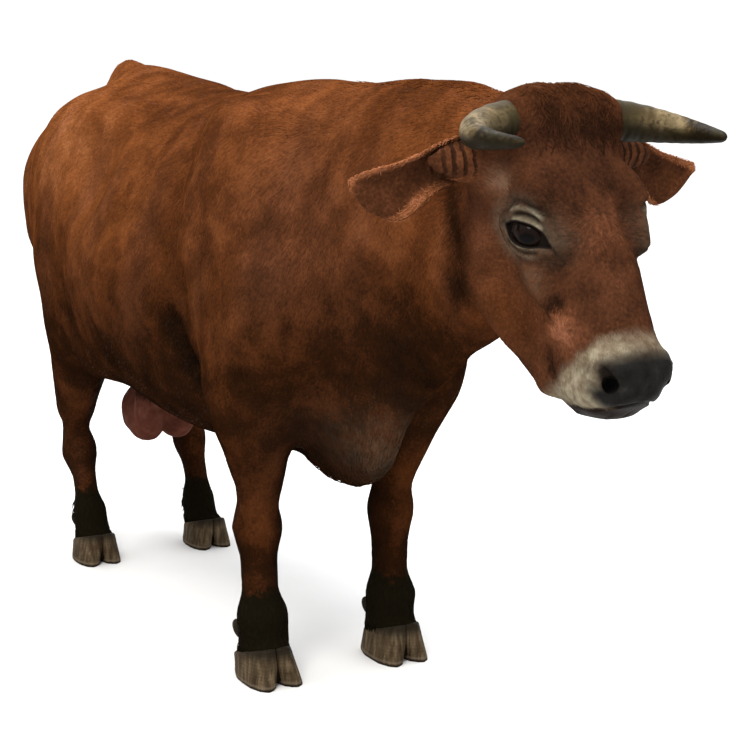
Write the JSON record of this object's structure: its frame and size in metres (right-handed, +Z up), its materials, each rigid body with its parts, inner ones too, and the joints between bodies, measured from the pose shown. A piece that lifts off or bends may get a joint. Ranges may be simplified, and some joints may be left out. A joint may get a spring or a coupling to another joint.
{
  "type": "cow model",
  "caption": "Life-size still model of a standing horned chestnut cow with dark stockings, pale muzzle ring, cloven hooves, udder and tufted tail.",
  "frame": {"origin": "on the floor, under the centre of the bounding box", "axes": "+Z up, the cow faces -Y and its left side is +X"},
  "size_m": [0.7393, 2.6454, 1.3888],
  "materials": {
    "coat": "short orange-chestnut hair, darker towards the belly",
    "dark_coat": "short black-brown hair of the lower legs",
    "switch_hair": "long dark hair in locks",
    "udder_skin": "fine-haired dusky pink skin",
    "horn": "ringed grey-olive horn, darker at base and tip",
    "hoof": "grey-beige horn with growth rings",
    "eye": "wet, nearly black brown"
  },
  "bodies": {
    "root": {"barrel": "coat", "chest": "coat", "head": "coat", "hindquarters": "coat", "left_ear": "coat", "left_eye": "eye", "left_fore_cannon": "dark_coat", "left_fore_inner_claw": "hoof", "left_fore_inner_dewclaw": "hoof", "left_fore_leg": "coat", "left_fore_outer_claw": "hoof", "left_fore_outer_dewclaw": "hoof", "left_fore_pastern": "dark_coat", "left_fore_teat": "udder_skin", "left_hind_cannon": "dark_coat", "left_hind_inner_claw": "hoof", "left_hind_inner_dewclaw": "hoof", "left_hind_leg": "coat", "left_hind_outer_claw": "hoof", "left_hind_outer_dewclaw": "hoof", "left_hind_pastern": "dark_coat", "left_hind_teat": "udder_skin", "left_horn": "horn", "lower_jaw": "coat", "neck": "coat", "right_ear": "coat", "right_eye": "eye", "right_fore_cannon": "dark_coat", "right_fore_inner_claw": "hoof", "right_fore_inner_dewclaw": "hoof", "right_fore_leg": "coat", "right_fore_outer_claw": "hoof", "right_fore_outer_dewclaw": "hoof", "right_fore_pastern": "dark_coat", "right_fore_teat": "udder_skin", "right_hind_cannon": "dark_coat", "right_hind_inner_claw": "hoof", "right_hind_inner_dewclaw": "hoof", "right_hind_leg": "coat", "right_hind_outer_claw": "hoof", "right_hind_outer_dewclaw": "hoof", "right_hind_pastern": "dark_coat", "right_hind_teat": "udder_skin", "right_horn": "horn", "tail": "coat", "tail_switch": "switch_hair", "udder": "udder_skin"}
  },
  "joints": []
}
